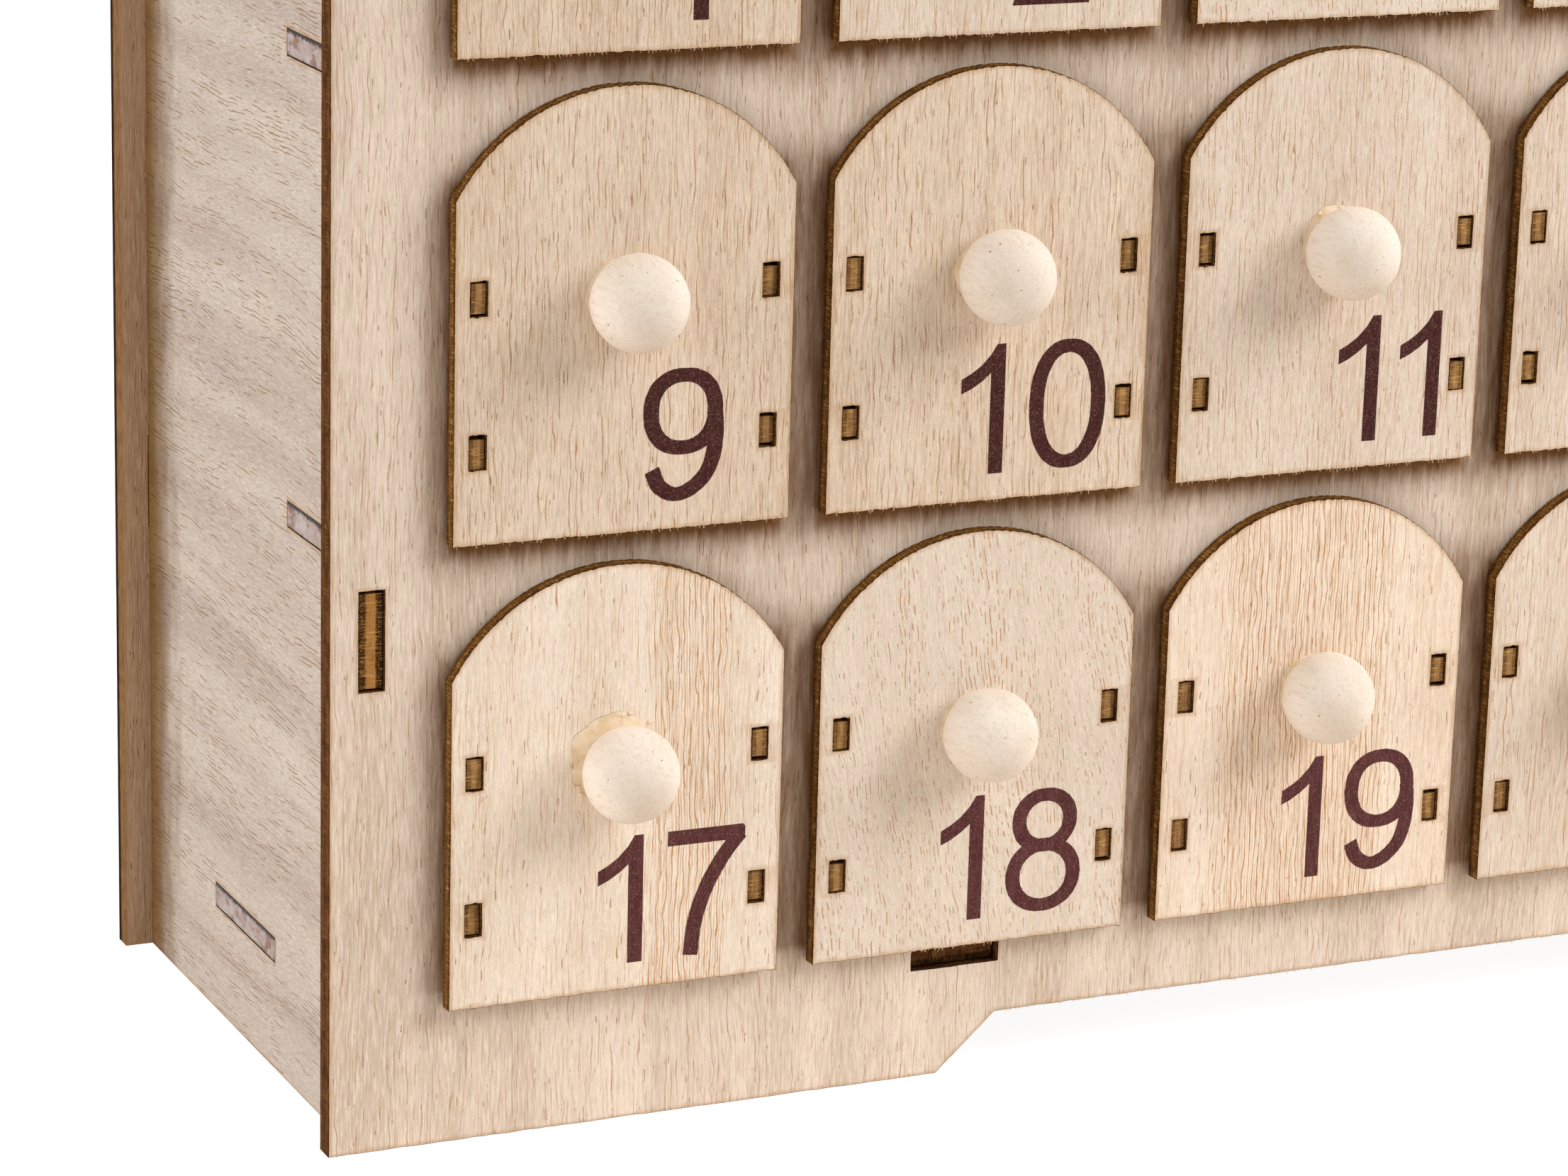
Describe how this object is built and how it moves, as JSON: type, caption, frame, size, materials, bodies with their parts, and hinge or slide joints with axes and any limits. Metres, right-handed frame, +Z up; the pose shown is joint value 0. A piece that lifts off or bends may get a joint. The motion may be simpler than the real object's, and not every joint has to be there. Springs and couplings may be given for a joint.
{
  "type": "wooden advent calendar",
  "caption": "Laser-cut plywood advent calendar: a low case on feet with rows of arch-fronted pull-out drawers, each with a ball knob.",
  "frame": {"origin": "on the ground at the middle of the whole footprint, from the knobs to the back panel", "axes": "+X along the width to the right as seen from the front, +Y from the front to the back, +Z up"},
  "size_m": [0.3786, 0.0896, 0.1863],
  "materials": {
    "case_plywood": "raw",
    "drawer_plywood": "raw"
  },
  "bodies": {
    "case": {"front_panel": "case_plywood", "back_panel": "case_plywood", "left_side": "case_plywood", "right_side": "case_plywood", "bottom_panel": "case_plywood", "top_panel": "case_plywood", "lower_shelf": "case_plywood", "upper_shelf": "case_plywood", "column_dividers": "case_plywood"},
    "drawer_01": {"drawer_01_front": "drawer_plywood", "drawer_01_box": "drawer_plywood"},
    "drawer_02": {"drawer_02_front": "drawer_plywood", "drawer_02_box": "drawer_plywood"},
    "drawer_03": {"drawer_03_front": "drawer_plywood", "drawer_03_box": "drawer_plywood"},
    "drawer_04": {"drawer_04_front": "drawer_plywood", "drawer_04_box": "drawer_plywood"},
    "drawer_05": {"drawer_05_front": "drawer_plywood", "drawer_05_box": "drawer_plywood"},
    "drawer_06": {"drawer_06_front": "drawer_plywood", "drawer_06_box": "drawer_plywood"},
    "drawer_07": {"drawer_07_front": "drawer_plywood", "drawer_07_box": "drawer_plywood"},
    "drawer_08": {"drawer_08_front": "drawer_plywood", "drawer_08_box": "drawer_plywood"},
    "drawer_09": {"drawer_09_front": "drawer_plywood", "drawer_09_box": "drawer_plywood"},
    "drawer_10": {"drawer_10_front": "drawer_plywood", "drawer_10_box": "drawer_plywood"},
    "drawer_11": {"drawer_11_front": "drawer_plywood", "drawer_11_box": "drawer_plywood"},
    "drawer_12": {"drawer_12_front": "drawer_plywood", "drawer_12_box": "drawer_plywood"},
    "drawer_13": {"drawer_13_front": "drawer_plywood", "drawer_13_box": "drawer_plywood"},
    "drawer_14": {"drawer_14_front": "drawer_plywood", "drawer_14_box": "drawer_plywood"},
    "drawer_15": {"drawer_15_front": "drawer_plywood", "drawer_15_box": "drawer_plywood"},
    "drawer_16": {"drawer_16_front": "drawer_plywood", "drawer_16_box": "drawer_plywood"},
    "drawer_17": {"drawer_17_front": "drawer_plywood", "drawer_17_box": "drawer_plywood"},
    "drawer_18": {"drawer_18_front": "drawer_plywood", "drawer_18_box": "drawer_plywood"},
    "drawer_19": {"drawer_19_front": "drawer_plywood", "drawer_19_box": "drawer_plywood"},
    "drawer_20": {"drawer_20_front": "drawer_plywood", "drawer_20_box": "drawer_plywood"},
    "drawer_21": {"drawer_21_front": "drawer_plywood", "drawer_21_box": "drawer_plywood"},
    "drawer_22": {"drawer_22_front": "drawer_plywood", "drawer_22_box": "drawer_plywood"},
    "drawer_23": {"drawer_23_front": "drawer_plywood", "drawer_23_box": "drawer_plywood"},
    "drawer_24": {"drawer_24_front": "drawer_plywood", "drawer_24_box": "drawer_plywood"}
  },
  "joints": [
    {"name": "drawer_01_slide", "type": "slide", "parent": "case", "child": "drawer_01", "axis": [0, -1, 0], "range_m": [0, 0.066]},
    {"name": "drawer_02_slide", "type": "slide", "parent": "case", "child": "drawer_02", "axis": [0, -1, 0], "range_m": [0, 0.066]},
    {"name": "drawer_03_slide", "type": "slide", "parent": "case", "child": "drawer_03", "axis": [0, -1, 0], "range_m": [0, 0.066]},
    {"name": "drawer_04_slide", "type": "slide", "parent": "case", "child": "drawer_04", "axis": [0, -1, 0], "range_m": [0, 0.066]},
    {"name": "drawer_05_slide", "type": "slide", "parent": "case", "child": "drawer_05", "axis": [0, -1, 0], "range_m": [0, 0.066]},
    {"name": "drawer_06_slide", "type": "slide", "parent": "case", "child": "drawer_06", "axis": [0, -1, 0], "range_m": [0, 0.066]},
    {"name": "drawer_07_slide", "type": "slide", "parent": "case", "child": "drawer_07", "axis": [0, -1, 0], "range_m": [0, 0.066]},
    {"name": "drawer_08_slide", "type": "slide", "parent": "case", "child": "drawer_08", "axis": [0, -1, 0], "range_m": [0, 0.066]},
    {"name": "drawer_09_slide", "type": "slide", "parent": "case", "child": "drawer_09", "axis": [0, -1, 0], "range_m": [0, 0.066]},
    {"name": "drawer_10_slide", "type": "slide", "parent": "case", "child": "drawer_10", "axis": [0, -1, 0], "range_m": [0, 0.066]},
    {"name": "drawer_11_slide", "type": "slide", "parent": "case", "child": "drawer_11", "axis": [0, -1, 0], "range_m": [0, 0.066]},
    {"name": "drawer_12_slide", "type": "slide", "parent": "case", "child": "drawer_12", "axis": [0, -1, 0], "range_m": [0, 0.066]},
    {"name": "drawer_13_slide", "type": "slide", "parent": "case", "child": "drawer_13", "axis": [0, -1, 0], "range_m": [0, 0.066]},
    {"name": "drawer_14_slide", "type": "slide", "parent": "case", "child": "drawer_14", "axis": [0, -1, 0], "range_m": [0, 0.066]},
    {"name": "drawer_15_slide", "type": "slide", "parent": "case", "child": "drawer_15", "axis": [0, -1, 0], "range_m": [0, 0.066]},
    {"name": "drawer_16_slide", "type": "slide", "parent": "case", "child": "drawer_16", "axis": [0, -1, 0], "range_m": [0, 0.066]},
    {"name": "drawer_17_slide", "type": "slide", "parent": "case", "child": "drawer_17", "axis": [0, -1, 0], "range_m": [0, 0.066]},
    {"name": "drawer_18_slide", "type": "slide", "parent": "case", "child": "drawer_18", "axis": [0, -1, 0], "range_m": [0, 0.066]},
    {"name": "drawer_19_slide", "type": "slide", "parent": "case", "child": "drawer_19", "axis": [0, -1, 0], "range_m": [0, 0.066]},
    {"name": "drawer_20_slide", "type": "slide", "parent": "case", "child": "drawer_20", "axis": [0, -1, 0], "range_m": [0, 0.066]},
    {"name": "drawer_21_slide", "type": "slide", "parent": "case", "child": "drawer_21", "axis": [0, -1, 0], "range_m": [0, 0.066]},
    {"name": "drawer_22_slide", "type": "slide", "parent": "case", "child": "drawer_22", "axis": [0, -1, 0], "range_m": [0, 0.066]},
    {"name": "drawer_23_slide", "type": "slide", "parent": "case", "child": "drawer_23", "axis": [0, -1, 0], "range_m": [0, 0.066]},
    {"name": "drawer_24_slide", "type": "slide", "parent": "case", "child": "drawer_24", "axis": [0, -1, 0], "range_m": [0, 0.066]}
  ]
}
